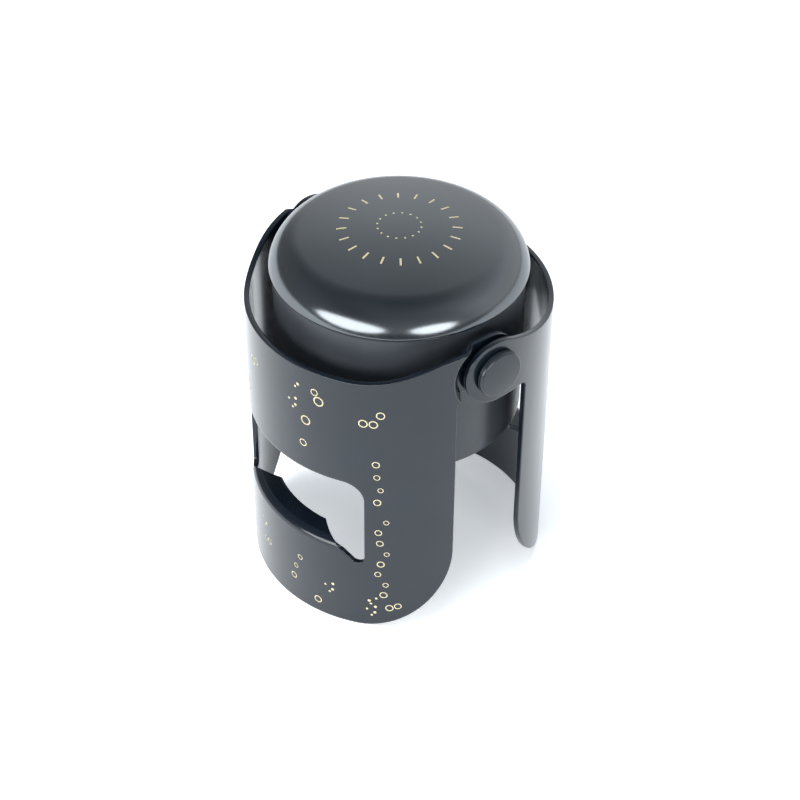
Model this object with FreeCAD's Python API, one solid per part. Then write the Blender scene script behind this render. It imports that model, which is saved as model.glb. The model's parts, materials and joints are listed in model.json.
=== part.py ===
import FreeCAD, Part
import math
import os

# Champagne stopper: a domed cap whose rubber seals the bottle's mouth, and two rolled
# steel wings that swing on a pair of rivets and hook their tongues under the bottle's lip.
# The origin is on the floor under the cap's axis, +Z is up and the rivets lie along X.
# The front wing faces -Y and the rear wing +Y. Lengths are in millimetres, angles in degrees.

# Rolled wings
wing_radius = 23.5
sheet = 0.9
side_edge_angle = 74.0
foot_corner_radius = 15.5
pivot_height = 48.0
rim_above_pivot = 0.7
front_rim_hollow = 25.0
front_rim_crest = 34.0
rear_rim_hollow = 50.0
rear_rim_crest = 6.0

# Ears round the rivets
ear_radius = 5.35
front_neck_fillet = 1.5
rear_neck_fillet = 1.0
ear_gap = 0.9
pocket_gap = 0.75

# Window and tongue of each wing
window_half_angle = 40.1
window_top = 29.4
window_top_fillet = 3.4
window_corner_radius = 1.1
bend_height = 15.1
bend_inner_radius = 0.5
relief_depth = 1.8
tongue_slant = 41.0
tongue_reach = 4.0

# Rivets and spacer washers
rivet_radius = 1.5
rivet_running_gap = 0.07
rivet_grip = 6.8
rivet_head_radius = 3.75
rivet_head_thickness = 1.2
rivet_head_edge = 0.35
rivet_head_gap = 0.1
washer_radius = 3.2
washer_thickness = 1.0
washer_gap = 0.6
boss_radius = 3.5

# Cap cover
cap_side_gap = 3.2
cover_wall = 1.0
cover_edge_above_pivot = 5.9
cover_straight = 0.6
cover_shoulder_radius = 4.0
cover_crown_radius = 60.0
cover_edge_round = 0.3

# Cap body
cover_overhang = 0.3
skirt_wall = 2.9
skirt_below_pivot = 19.2
skirt_edge_round = 0.6
upper_wall = 2.0
spigot_height = 0.5
spigot_gap = 0.05
web_thickness = 3.0

# Rubber seal
seal_face_below_pivot = 13.0
flange_thickness = 2.5
flange_gap = 0.3
plug_length = 5.5
plug_radius = 9.0
plug_taper = 0.8
plug_round = 1.0
stem_radius = 3.0
stem_gap = 0.1
stem_bulb_radius = 4.3
stem_bulb_height = 2.0

# Places worked out from the sizes above
inner_radius = wing_radius - sheet
low_ear_outer = inner_radius - ear_gap
low_ear_inner = low_ear_outer - sheet
pocket_radius = ear_radius + pocket_gap
hole_radius = rivet_radius + rivet_running_gap
cap_radius = inner_radius - cap_side_gap
skirt_radius = cap_radius - cover_overhang
washer_face = low_ear_inner - washer_gap
boss_face = washer_face - washer_thickness
rivet_head_face = wing_radius + rivet_head_gap
cover_edge = pivot_height + cover_edge_above_pivot
seal_face = pivot_height - seal_face_below_pivot
web_bottom = seal_face + flange_thickness
web_top = web_bottom + web_thickness
foot_half_width = math.radians(side_edge_angle) * wing_radius
pin_place = math.pi / 2 * wing_radius

AXIS = FreeCAD.Vector(0, 0, 1)
OUTWARD = FreeCAD.Vector(1, 0, 0)
CENTRE = FreeCAD.Vector(0, 0, 0)


# Flat outlines: points are (distance along the sheet, height)

def line(start, end):
    return ("line", start, end)


def arc(centre, radius, first, last):
    return ("arc", centre, radius, first, last)


def on_arc(centre, radius, angle):
    turn = math.radians(angle)
    return (centre[0] + radius * math.cos(turn), centre[1] + radius * math.sin(turn))


def heading(start, end):
    return math.degrees(math.atan2(end[1] - start[1], end[0] - start[0]))


def with_mirror_image(half):
    """Close an outline whose right half runs from the bottom middle to the top middle."""
    left = []
    for piece in reversed(half):
        if piece[0] == "line":
            left.append(line((-piece[2][0], piece[2][1]), (-piece[1][0], piece[1][1])))
        else:
            centre = (-piece[1][0], piece[1][1])
            left.append(arc(centre, piece[2], 180 - piece[4], 180 - piece[3]))
    return half + left


# Rolling a flat outline round the wing's axis

def rolled_edge(piece, surface):
    """Lay one line or arc of a flat outline on a cylinder, with the wing's middle at -X."""
    def laid(point):
        return FreeCAD.Base.Vector2d(math.pi + point[0] / wing_radius, point[1])

    if piece[0] == "line":
        curve = Part.Geom2d.Line2dSegment(laid(piece[1]), laid(piece[2]))
    else:
        centre, radius, first, last = piece[1:]
        circle = Part.Geom2d.Circle2d(FreeCAD.Base.Vector2d(*centre), radius)
        ends = [math.radians(angle) for angle in sorted((first, last))]
        curve = Part.Geom2d.ArcOfCircle2d(circle, *ends).toBSpline()
        for number, pole in enumerate(curve.getPoles(), 1):
            curve.setPole(number, laid((pole.x, pole.y)))
        if last < first:
            curve.reverse()
    return curve.toShape(surface)


def sheet_edge(low, high):
    """The narrow face between the two skins, a true plane wherever it lies flat."""
    face = Part.makeRuledSurface(low, high)
    plane = face.findPlane(1e-5)
    return Part.Face(plane, face.OuterWire) if plane else face


def rolled(outline, inner, outer):
    """A rolled plate with this outline between two radii, with its middle at -Y."""
    skins = []
    borders = []
    for radius in (inner, outer):
        surface = Part.Cylinder()
        surface.Radius = radius
        border = [rolled_edge(piece, surface) for piece in outline]
        borders.append(border)
        skins.append(Part.Face(surface, Part.Wire(border)))
    walls = [sheet_edge(low, high) for low, high in zip(*borders)]
    shell = Part.makeShell(skins + walls)
    shell.sewShape()
    plate = Part.makeSolid(shell)
    plate.rotate(CENTRE, AXIS, 90)
    return plate


def across(radius, start, length):
    """A cylinder on the rivets' axis from x = start towards +X."""
    return Part.makeCylinder(radius, length, FreeCAD.Vector(start, 0, pivot_height), OUTWARD)


def turned(points):
    """Revolve a closed profile of (radius, height) points and (middle, end) arcs about Z."""
    def placed(point):
        return FreeCAD.Vector(point[0], 0, point[1])

    edges = []
    start = placed(points[0])
    for step in points[1:] + points[:1]:
        if isinstance(step[0], tuple):
            end = placed(step[1])
            edges.append(Part.Arc(start, placed(step[0]), end).toShape())
        else:
            end = placed(step)
            edges.append(Part.makeLine(start, end))
        start = end
    return Part.Face(Part.Wire(edges)).revolve(CENTRE, AXIS, 360)


def bend(centre, radius, first, last):
    """An arc step of a turned profile, from its first to its last angle about a centre."""
    return (on_arc(centre, radius, (first + last) / 2), on_arc(centre, radius, last))


# Wings

def foot_and_side(fillet_height):
    """Bottom edge, large foot corner and straight side, up to the neck's fillet."""
    corner = (foot_half_width - foot_corner_radius, foot_corner_radius)
    return [
        line((0, 0), (corner[0], 0)),
        arc(corner, foot_corner_radius, -90, 0),
        line((foot_half_width, foot_corner_radius), (foot_half_width, fillet_height)),
    ]


def rim(ear, from_angle, crest_radius, hollow_radius):
    """Round the ear from an angle, over its crest and down to the flat top edge."""
    top = pivot_height + ear_radius
    crest = (ear[0], top - crest_radius)
    flat = pivot_height + rim_above_pivot
    rise = flat + hollow_radius - crest[1]
    reach = hollow_radius + crest_radius
    hollow = (crest[0] - math.sqrt(reach ** 2 - rise ** 2), flat + hollow_radius)
    turn = heading(crest, hollow)
    return [
        arc(ear, ear_radius, from_angle, 90),
        arc(crest, crest_radius, 90, turn),
        arc(hollow, hollow_radius, turn - 180, -90),
        line((hollow[0], flat), (0, flat)),
    ]


def front_outline():
    """The neck runs in a fillet from the side edge straight into the ear's circle."""
    ear = (pin_place, pivot_height)
    across_gap = ear[0] - foot_half_width - front_neck_fillet
    reach = ear_radius + front_neck_fillet
    drop = math.sqrt(reach ** 2 - across_gap ** 2)
    fillet = (foot_half_width + front_neck_fillet, pivot_height - drop)
    turn = heading(fillet, ear)
    half = foot_and_side(fillet[1])
    half.append(arc(fillet, front_neck_fillet, 180, turn))
    half += rim(ear, turn - 180, front_rim_crest, front_rim_hollow)
    return with_mirror_image(half)


def rear_outline():
    """The neck's lower edge is level with the bottom of the ear."""
    ear = (pin_place, pivot_height)
    under = pivot_height - ear_radius
    fillet = (foot_half_width + rear_neck_fillet, under - rear_neck_fillet)
    half = foot_and_side(fillet[1])
    half.append(arc(fillet, rear_neck_fillet, 180, 90))
    half.append(line((fillet[0], under), (ear[0], under)))
    half += rim(ear, -90, rear_rim_crest, rear_rim_hollow)
    return with_mirror_image(half)


def window_side():
    return math.radians(window_half_angle) * wing_radius


def relief_corner():
    """Centre of the small corner below the tongue's root."""
    height = bend_height - relief_depth + window_corner_radius
    return (window_side() - window_corner_radius, height)


def tongue_root():
    """Half the tongue's width along the sheet, where its bend starts."""
    touch = on_arc(relief_corner(), window_corner_radius, -90 - tongue_slant)
    return touch[0] - (bend_height - touch[1]) / math.tan(math.radians(tongue_slant))


def window_outline():
    side = window_side()
    root = (tongue_root(), bend_height)
    corner = relief_corner()
    top_corner = (side - window_top_fillet, window_top - window_top_fillet)
    half = [
        line((0, bend_height), root),
        line(root, on_arc(corner, window_corner_radius, -90 - tongue_slant)),
        arc(corner, window_corner_radius, -90 - tongue_slant, 0),
        line((side, corner[1]), (side, top_corner[1])),
        arc(top_corner, window_top_fillet, 0, 90),
        line((top_corner[0], window_top), (0, window_top)),
    ]
    return with_mirror_image(half)


def tongue():
    """The tongue folded inward, with the straight slanted sides of its flat blank."""
    fold = (inner_radius - bend_inner_radius, bend_height)
    outer_bend = bend_inner_radius + sheet
    tip = wing_radius - tongue_reach
    ledge = turned([
        (wing_radius, bend_height),
        bend(fold, outer_bend, 0, 90),
        (tip, bend_height + outer_bend),
        (tip, bend_height + bend_inner_radius),
        (fold[0], bend_height + bend_inner_radius),
        bend(fold, bend_inner_radius, 90, 0),
    ])
    folded_length = outer_bend * math.pi / 2 + fold[0] - tip
    tip_half = tongue_root() - folded_length / math.tan(math.radians(tongue_slant))
    corners = [on_arc((0, 0), wing_radius, math.degrees(tongue_root() / wing_radius) - 90)]
    corners.append(on_arc((0, 0), tip, math.degrees(tip_half / wing_radius) - 90))
    corners += [(-corner[0], corner[1]) for corner in reversed(corners)]
    far = 2 * wing_radius
    corners += [(-far, corners[0][1] - far), (far, corners[0][1] - far)]
    points = [FreeCAD.Vector(corner[0], corner[1], 0) for corner in corners]
    plan = Part.Face(Part.makePolygon(points + points[:1]))
    return ledge.common(plan.extrude(AXIS * window_top))


def windowed(plate):
    """Cut the window and add its folded tongue."""
    opening = rolled(window_outline(), inner_radius - sheet, wing_radius + sheet)
    return plate.cut(opening).fuse(tongue())


def through_ears(radius):
    """A round post on the rivets' axis that passes both of a wing's ears."""
    return across(radius, -2 * wing_radius, 4 * wing_radius)


def front_wing():
    """Its ears are pressed inward in a round step, so that the rear ears can lie over them."""
    outline = front_outline()
    plate = rolled(outline, inner_radius, wing_radius)
    block = rolled(outline, low_ear_inner, wing_radius)
    low_plate = rolled(outline, low_ear_inner, low_ear_outer)
    pocket = through_ears(pocket_radius)
    dished = through_ears(pocket_radius + sheet)
    step = block.common(dished.cut(pocket))
    ears = low_plate.common(dished)
    body = windowed(plate.cut(pocket))
    return body.fuse([step, ears]).cut(through_ears(hole_radius)).removeSplitter()


def rear_wing():
    plate = windowed(rolled(rear_outline(), inner_radius, wing_radius))
    wing = plate.cut(through_ears(hole_radius)).removeSplitter()
    wing.rotate(CENTRE, AXIS, 180)
    return wing


# Rivets and washers

def on_rivet_axis(shape, side):
    """Lay a piece that was turned about Z along the rivets' axis, on the +X or -X side."""
    shape.rotate(CENTRE, FreeCAD.Vector(0, 1, 0), 90 * side)
    shape.translate(AXIS * pivot_height)
    return shape


def rivet(side):
    """A button-head rivet whose plain end is pressed into the cap body's boss."""
    crown = rivet_head_face + rivet_head_thickness
    edge_centre = (rivet_head_radius - rivet_head_edge, crown - rivet_head_edge)
    return on_rivet_axis(turned([
        (0, boss_face - rivet_grip),
        (rivet_radius, boss_face - rivet_grip),
        (rivet_radius, rivet_head_face),
        (rivet_head_radius, rivet_head_face),
        (rivet_head_radius, edge_centre[1]),
        bend(edge_centre, rivet_head_edge, 0, 90),
        (0, crown),
    ]), side)


def spacer_washer(side):
    return on_rivet_axis(turned([
        (hole_radius, boss_face),
        (washer_radius, boss_face),
        (washer_radius, washer_face),
        (hole_radius, washer_face),
    ]), side)


# Cap

def dome_profile(inset):
    """Shoulder and crown from the straight side up to the axis, inset by a wall."""
    spring = cover_edge + cover_straight
    shoulder = (cap_radius - cover_shoulder_radius, spring)
    reach = cover_crown_radius - cover_shoulder_radius
    crown = (0, spring - math.sqrt(reach ** 2 - shoulder[0] ** 2))
    turn = heading(crown, shoulder)
    return [
        (cap_radius - inset, spring),
        bend(shoulder, cover_shoulder_radius - inset, 0, turn),
        bend(crown, cover_crown_radius - inset, turn, 90),
    ]


def cap_cover():
    edge_centre = (cap_radius - cover_edge_round, cover_edge + cover_edge_round)
    outside = [(edge_centre[0], cover_edge), bend(edge_centre, cover_edge_round, -90, 0)]
    shell = turned([(0, cover_edge)] + outside + dome_profile(0))
    hollow = turned([(0, cover_edge), (cap_radius - cover_wall, cover_edge)]
                    + dome_profile(cover_wall))
    return shell.cut(hollow)


def cap_body():
    """Skirt, web under the seal's stem, bosses for the rivets and a spigot in the cover."""
    bottom = pivot_height - skirt_below_pivot
    mouth_radius = skirt_radius - skirt_wall
    outer_round = (skirt_radius - skirt_edge_round, bottom + skirt_edge_round)
    inner_round = (mouth_radius + skirt_edge_round, bottom + skirt_edge_round)
    spigot = cap_radius - cover_wall - spigot_gap
    groove = cover_edge - cover_edge_round
    body = turned([
        (outer_round[0], bottom),
        bend(outer_round, skirt_edge_round, -90, 0),
        (skirt_radius, groove),
        (skirt_radius - cover_edge_round, cover_edge),
        (spigot, cover_edge),
        (spigot, cover_edge + spigot_height),
        (skirt_radius - upper_wall, cover_edge + spigot_height),
        (skirt_radius - upper_wall, web_top),
        (stem_radius + stem_gap, web_top),
        (stem_radius + stem_gap, web_bottom),
        (mouth_radius, web_bottom),
        (mouth_radius, inner_round[1]),
        bend(inner_round, skirt_edge_round, 180, 270),
    ])
    bosses = across(boss_radius, -boss_face, 2 * boss_face)
    between = across(boss_radius, rivet_grip - boss_face, 2 * (boss_face - rivet_grip))
    bores = across(rivet_radius, -boss_face, 2 * boss_face)
    return body.fuse(bosses.cut(between)).cut(bores).removeSplitter()


def rubber_seal():
    """A flange for the bottle's rim, a tapered plug for its mouth and a snap-in stem."""
    mouth_radius = skirt_radius - skirt_wall
    tip_radius = plug_radius - plug_taper
    tip = seal_face - plug_length
    tip_round = (tip_radius - plug_round, tip + plug_round)
    bulb_top = web_top + stem_bulb_height
    return turned([
        (0, tip),
        (tip_round[0], tip),
        bend(tip_round, plug_round, -90, 0),
        (plug_radius, seal_face),
        (mouth_radius - flange_gap, seal_face),
        (mouth_radius - flange_gap, web_bottom),
        (stem_radius, web_bottom),
        (stem_radius, web_top),
        (stem_bulb_radius, web_top),
        (stem_radius, bulb_top),
        (0, bulb_top),
    ])


pieces = {
    "cap_cover": cap_cover(),
    "cap_body": cap_body(),
    "rubber_seal": rubber_seal(),
    "front_wing": front_wing(),
    "rear_wing": rear_wing(),
    "rivet_right": rivet(1),
    "rivet_left": rivet(-1),
    "spacer_washer_right": spacer_washer(1),
    "spacer_washer_left": spacer_washer(-1),
}

os.makedirs("parts", exist_ok=True)
for name, shape in pieces.items():
    shape.exportStep("parts/" + name + ".step")
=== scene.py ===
import json
import math

import bmesh
import bpy
from mathutils import Matrix, Vector
from mathutils.geometry import delaunay_2d_cdt


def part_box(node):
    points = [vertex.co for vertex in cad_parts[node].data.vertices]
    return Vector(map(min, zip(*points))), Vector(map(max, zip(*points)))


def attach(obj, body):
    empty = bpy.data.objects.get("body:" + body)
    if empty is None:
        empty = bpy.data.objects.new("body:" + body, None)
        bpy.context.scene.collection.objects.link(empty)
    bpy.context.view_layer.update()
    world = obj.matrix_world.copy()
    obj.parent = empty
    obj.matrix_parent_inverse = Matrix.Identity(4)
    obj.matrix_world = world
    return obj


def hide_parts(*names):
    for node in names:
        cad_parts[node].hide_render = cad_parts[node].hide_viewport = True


bl_info = {
    "name": "Champagne Stopper",
    "version": (1, 0, 0),
    "blender": (4, 5, 0),
    "location": "View3D > Sidebar > Stopper",
    "description": "Dresses the stopper's cap, wings, rivets and seal, and sets up its studio",
    "category": "Object",
}

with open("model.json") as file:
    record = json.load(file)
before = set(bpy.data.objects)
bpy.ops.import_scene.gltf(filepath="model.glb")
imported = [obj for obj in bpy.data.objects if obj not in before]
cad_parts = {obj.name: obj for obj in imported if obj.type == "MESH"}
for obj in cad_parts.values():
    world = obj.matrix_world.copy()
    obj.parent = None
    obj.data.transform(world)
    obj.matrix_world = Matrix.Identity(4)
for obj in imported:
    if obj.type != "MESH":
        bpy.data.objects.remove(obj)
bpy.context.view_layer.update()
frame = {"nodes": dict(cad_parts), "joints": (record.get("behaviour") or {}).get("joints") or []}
MM = 0.001

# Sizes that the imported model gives
FRONT_LOW, FRONT_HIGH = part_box("front_wing")
WING_RADIUS = -FRONT_LOW.y / MM
PIVOT_HEIGHT = frame["joints"][0]["pos_m"][2] / MM
EAR_RADIUS = FRONT_HIGH.z / MM - PIVOT_HEIGHT
COVER_LOW, COVER_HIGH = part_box("cap_cover")
COVER_TOP = COVER_HIGH.z / MM

# Details of the wings, in millimetres. The step round an ear's dish begins this far within
# the dish's reach and ends this far beyond it
STEP_WITHIN, STEP_BEYOND = 0.25, 1.05
# From the rolled face to the middle of an ear's sheet, in the front wing and in the rear one
EAR_DEPTHS = {True: 2.25, False: 0.45}
MITRE_MOST, MITRE_LEAST = 1.6, 0.3  # Limits of a corner's stretch where an outline is moved inward
TONGUE_SIDE, TONGUE_OVER = 0.25, 2  # Room beside and above the tongue's blank
FOLD_STRIPS = 8
# Cuts where the ears are dished: distance of the first, spacing and count, then their slack
CUTS_ALONG, CUTS_UP, CUT_SLACK = (2.0, 0.2, 30), (7.6, 0.25, 54), 0.3

# Details of the turned pieces, in millimetres
LIP_RETURN = 1.0  # How far the cover's edge is turned in below
COVER_RAISE = 0.02  # How far its edge stays above the edge of its own solid
RIVET_BEVEL = 0.1
COVER_SIDES, RIVET_SIDES = 192, 72
TURNED_CREASE = 40  # Degrees between faces, above which a turned edge stays crisp
ON_AXIS, SAME_PLACE = 0.001, 0.01  # Radius that counts as the axis, distance that counts as none

# Softboxes: turn from the camera and height in degrees, distance and sizes in metres, power,
# and whether they are mirrored
SOFTBOXES = (
    ("softbox_left", (-40, 14, 0.8), (0.86, 0.38), 6.0, True),
    ("softbox_right", (28, 12, 0.9), (0.58, 0.34), 3.7, True),
    ("softbox_top", (-60, 76, 1.0), (0.68, 0.68), 7.5, False),
)
LAMP_TARGET = (0, 0, 0.03)
FLOOR_REACH, FLOOR_BEFORE = 3.0, 0.2  # In metres, from the object outward and toward the camera


def length(name, about, default, low=0.0, high=100.0):
    """A size in millimetres."""
    return bpy.props.FloatProperty(
        name=name, description=about + ", in millimetres", default=default, min=low, max=high,
        precision=3, unit="NONE")


def share(name, about, default, high=1.0):
    """A part of one."""
    return bpy.props.FloatProperty(
        name=name, description=about, default=default, min=0.0, max=high, subtype="FACTOR")


def whole(name, about, default):
    return bpy.props.IntProperty(name=name, description=about, default=default, min=1)


def angle(name, about, degrees):
    return bpy.props.FloatProperty(
        name=name, description=about, default=math.radians(degrees), unit="ROTATION")


def colour(name, about, default):
    return bpy.props.FloatVectorProperty(
        name=name, description=about, default=default, size=3, min=0.0, max=1.0, subtype="COLOR")


class WingSizes(bpy.types.PropertyGroup):
    """The rolled wings, as they are cut from sheet."""
    radius: length("Wing Radius", "Outer radius of the rolled wings", WING_RADIUS)
    sheet: length("Sheet", "Thickness of the steel", 0.9)
    skin: length("Skin", "How far the finished face lies inside the rolled radius", 0.03)
    side_angle: angle("Side Angle", "From the wing's middle to its side edge", 74.0)
    foot_corner: length("Foot Corner", "Radius of the large corners at the foot", 15.5)
    pivot: length("Pivot Height", "Height of the rivets", PIVOT_HEIGHT)
    ear: length("Ear Radius", "Radius of the ears round the rivets", EAR_RADIUS)
    rim_rise: length("Rim Rise", "Height of the flat rim above the rivets", 0.7)
    front_hollow: length("Front Rim Hollow", "Radius where the front rim turns up to the ear", 25.0)
    front_crest: length("Front Rim Crest", "Radius of the front rim beside the ear", 34.0)
    rear_hollow: length("Rear Rim Hollow", "Radius where the rear rim turns up to the ear", 50.0)
    rear_crest: length("Rear Rim Crest", "Radius of the rear rim beside the ear", 6.0)
    front_neck: length("Front Neck", "Fillet under the front wing's ears", 1.5)
    rear_neck: length("Rear Neck", "Fillet under the rear wing's ears", 1.0)
    dish_reach: length("Dish Reach", "From the rivet to the step round the front ears", 6.1)
    dish_depth: length("Dish Depth", "How far the front ears are pressed inward", 1.8)
    rivet_hole: length("Rivet Hole", "Radius of the holes in the ears", 1.62)
    window_angle: angle("Window Angle", "From the wing's middle to the window's side", 40.1)
    window_top: length("Window Top", "Height of the window's upper edge", 29.4)
    window_top_corner: length("Window Top Corner", "Radius of its upper corners", 3.4)
    window_low_corner: length("Window Low Corner", "Radius of its lower corners", 1.1)
    bend_height: length("Bend Height", "Height where the tongue starts to fold", 15.1)
    bend_inside: length("Bend Inside", "Inner radius of the fold", 0.5)
    relief: length("Relief", "Depth of the cuts beside the tongue", 1.8)
    tongue_slant: angle("Tongue Slant", "Slope of the tongue's sides", 41.0)
    tongue_reach: length("Tongue Reach", "How far the tongue reaches inward", 4.0)
    edge: length("Rounded Edge", "Width of the paint's rounding along each edge", 0.14)
    border: length("Border", "Even strip of the flat face beside the rounded edge", 0.3)
    strip: angle("Strip", "Width of a strip of the rolled face", 1.5)


class PaintLooks(bpy.types.PropertyGroup):
    """The satin paint of wings and rivets."""
    wing: colour("Wing Paint", "Satin black of the wings", (0.005, 0.008, 0.0135))
    wing_ior: bpy.props.FloatProperty(name="Wing IOR", description="Index of the paint", default=1.32)
    coat: share("Clear Coat", "Weight of the clear coat over the wings' paint", 0.65)
    rivet: colour("Rivet Paint", "Satin black of the rivet heads", (0.014, 0.017, 0.021))
    roughness: share("Paint Roughness", "How far the paint spreads a reflection", 0.21)
    rivet_roughness: share("Rivet Roughness", "How far the rivets' paint spreads a reflection", 0.25)
    grain: length("Paint Grain", "Size of the paint's fine grain", 0.35)
    bump: share("Paint Bump", "Strength of the grain", 0.035)
    rivet_shank: length("Rivet Shank", "Radius of a rivet's shank", 1.5)
    rivet_head: length("Rivet Head", "Thickness of a rivet's head", 1.2)
    rivet_edge: length("Rivet Edge", "Rounding of a rivet's head", 0.45)
    rivet_crown: length("Rivet Crown", "Radius of a rivet head's face", 26.0)


class CapLooks(bpy.types.PropertyGroup):
    """The cap's cover, moulding, seal and washers."""
    cover: colour("Cover Lacquer", "Lacquer of the domed cover", (0.007, 0.0095, 0.013))
    cover_roughness: share("Cover Roughness", "How far the lacquer spreads a reflection", 0.17)
    cover_ior: bpy.props.FloatProperty(
        name="Cover IOR", description="Index of the lacquer", default=2.2)
    overhang: length("Overhang", "How far the cover's edge stands out beyond its own solid", 0.2)
    lip: length("Lip", "Rounding of the cover's lower edge", 0.45)
    slope: angle("Edge Slope", "Lean of the cover's side at its edge", 12.0)
    shoulder: length("Shoulder", "Radius of the cover's shoulder", 6.0)
    moulding: colour("Moulding", "Plastic of the cap's body", (0.030, 0.034, 0.040))
    rubber: colour("Rubber", "Rubber of the seal", (0.022, 0.022, 0.023))
    washer: colour("Washer", "Plastic of the spacer washers", (0.03, 0.03, 0.032))


class PrintLooks(bpy.types.PropertyGroup):
    """The gold print of cover and front wing."""
    gold: colour("Gold", "Pale gold of the print", (0.62, 0.55, 0.35))
    lift: length("Lift", "Height of the print over the paint", 0.015)
    stroke: share("Stroke", "Width of a ring's line, as a part of its radius", 0.25)
    dot_limit: length("Dot Limit", "Bubbles smaller than this are filled dots", 0.32)
    tick_circle: length("Tick Circle", "Radius of the circle of ticks on the cover", 8.6)
    tick_length: length("Tick Length", "Length of a tick", 1.5)
    tick_width: length("Tick Width", "Width of a tick", 0.3)
    dot_circle: length("Dot Circle", "Radius of the circle of dots on the cover", 3.3)
    dot_size: length("Dot Size", "Width of a dot on the cover", 0.3)
    ticks: whole("Ticks", "Number of ticks on the cover", 20)
    dots: whole("Dots", "Number of dots on the cover", 16)


class StudioLooks(bpy.types.PropertyGroup):
    """Camera, floor and pale surroundings."""
    azimuth: angle("Azimuth", "Direction that the camera looks from", 52.4)
    elevation: angle("Elevation", "How far the camera looks down", 39.66)
    distance: length("Distance", "From the camera to the point it looks at", 316.17, 0, 2000)
    aim_side: length("Aim Side", "The point looked at, to the right of the axis", 0.3, -50)
    aim_height: length("Aim Height", "Height of the point looked at", 27.11)
    roll: bpy.props.FloatProperty(
        name="Roll", description="Turn of the camera about its view", default=0.008)
    lens: length("Lens", "Focal length on a 36 mm frame", 89.86, 10, 300)
    floor: colour("Floor", "Colour of the floor", (0.95, 0.95, 0.95))
    world: share("Surroundings", "Strength of the pale surroundings", 0.55, 2.0)


# Node trees

def node(tree, kind, place=(0, 0), values=(), **settings):
    """Add a node; its inputs take these values, or links from these nodes or sockets."""
    made = tree.nodes.new(kind)
    made.location = place
    for name, value in settings.items():
        setattr(made, name, value)
    for entry, value in dict(values).items():
        if isinstance(value, bpy.types.Node):
            value = value.outputs[0]
        if isinstance(value, bpy.types.NodeSocket):
            tree.links.new(value, made.inputs[entry])
        else:
            made.inputs[entry].default_value = value
    return made


def calculator(tree, place):
    """A function that adds a step of arithmetic to the tree and gives its result."""
    def calc(operation, *values):
        step = node(tree, "ShaderNodeMath", place, dict(enumerate(values)), operation=operation)
        return step.outputs[0]
    return calc


def remap(tree, place, value, low, high, first, last, ease="LINEAR"):
    """Turn a value between low and high into one between first and last."""
    limits = {"From Min": low, "From Max": high, "To Min": first, "To Max": last}
    return node(tree, "ShaderNodeMapRange", place, {"Value": value, **limits}, interpolation_type=ease)


def ramp(tree, place, value, first, last, *between):
    """A colour ramp through these stops of position and colour."""
    made = node(tree, "ShaderNodeValToRGB", place, {"Fac": value})
    stops = made.color_ramp.elements
    for n, (position, tone) in enumerate((first, last)):
        stops[n].position = position
        stops[n].color = (*tone, 1)
    for position, tone in between:
        stops.new(position).color = (*tone, 1)
    return made


def new_tree(name, entries):
    """A geometry tree with these named inputs, a finish and one geometry output."""
    tree = bpy.data.node_groups.new(name, "GeometryNodeTree")
    sockets = tree.interface
    sockets.new_socket("Geometry", in_out="INPUT", socket_type="NodeSocketGeometry")
    for entry in entries:
        sockets.new_socket(entry, in_out="INPUT", socket_type="NodeSocketFloat")
    sockets.new_socket("Finish", in_out="INPUT", socket_type="NodeSocketMaterial")
    sockets.new_socket("Geometry", in_out="OUTPUT", socket_type="NodeSocketGeometry")
    return tree, node(tree, "NodeGroupInput", (-1600, 0)).outputs


def hand_over(tree, shape):
    """Let the shape out of its tree."""
    node(tree, "NodeGroupOutput", (900, 0), {0: shape})
    return tree


def finished(tree, shape, finish):
    """Give the shape its material."""
    return node(tree, "GeometryNodeSetMaterial", (600, 0), {"Geometry": shape, "Material": finish})


def fresh_material(name):
    material = bpy.data.materials.new(name)
    material.use_nodes = True
    material.node_tree.nodes.clear()
    return material, material.node_tree


def speckled_finish(name, tone, roughness, grain, bump, spread=0.06, tint=0.12, ior=1.5,
                    metallic=0.0, coat=0.0):
    """A painted or moulded finish: fine grain in its height, drifts in its gloss and tone."""
    material, tree = fresh_material(name)
    place = node(tree, "ShaderNodeTexCoord", (-1300, 0)).outputs["Object"]
    drift = node(tree, "ShaderNodeTexNoise", (-1050, 250), {
        "Vector": place, "Scale": 0.12 / MM, "Detail": 3.0})
    grit = node(tree, "ShaderNodeTexNoise", (-1050, -150), {
        "Vector": place, "Scale": 1.0 / (grain * MM), "Detail": 4.0})
    dark, pale = ([c * (1 + step) for c in tone] for step in (-tint, tint))
    tones = ramp(tree, (-700, 300), drift, (0.35, dark), (0.65, pale))
    gloss = remap(tree, (-700, 0), grit, 0.3, 0.7, roughness - spread, roughness + spread)
    relief = node(tree, "ShaderNodeBump", (-450, -250), {
        "Height": grit, "Strength": bump, "Distance": 0.02 * MM})
    surface = node(tree, "ShaderNodeBsdfPrincipled", (-150, 100), {
        "Base Color": tones, "Roughness": gloss, "Normal": relief, "IOR": ior, "Metallic": metallic,
        "Specular Tint": (0.86, 0.94, 1.0, 1), "Coat Weight": coat, "Coat Roughness": 0.14,
        "Coat Tint": (0.93, 0.97, 1.0, 1)})
    node(tree, "ShaderNodeOutputMaterial", (150, 100), {"Surface": surface})
    return material


def cover_finish():
    look = cap()
    return speckled_finish("cover_lacquer", look.cover, look.cover_roughness, grain=0.5, bump=0.05,
                           spread=0.02, ior=look.cover_ior)


def dress(name, material):
    """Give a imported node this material."""
    part = frame["nodes"][name]
    if not part.material_slots:
        part.data.materials.append(material)
    for slot in part.material_slots:
        slot.material = material


def sizes():
    return bpy.context.scene.stopper_wings


def paint():
    return bpy.context.scene.stopper_paint


def cap():
    return bpy.context.scene.stopper_cap


def printing():
    return bpy.context.scene.stopper_print


def studio():
    return bpy.context.scene.stopper_studio


# Flat blanks of the wings: points are (distance along the sheet, height) in millimetres

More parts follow.
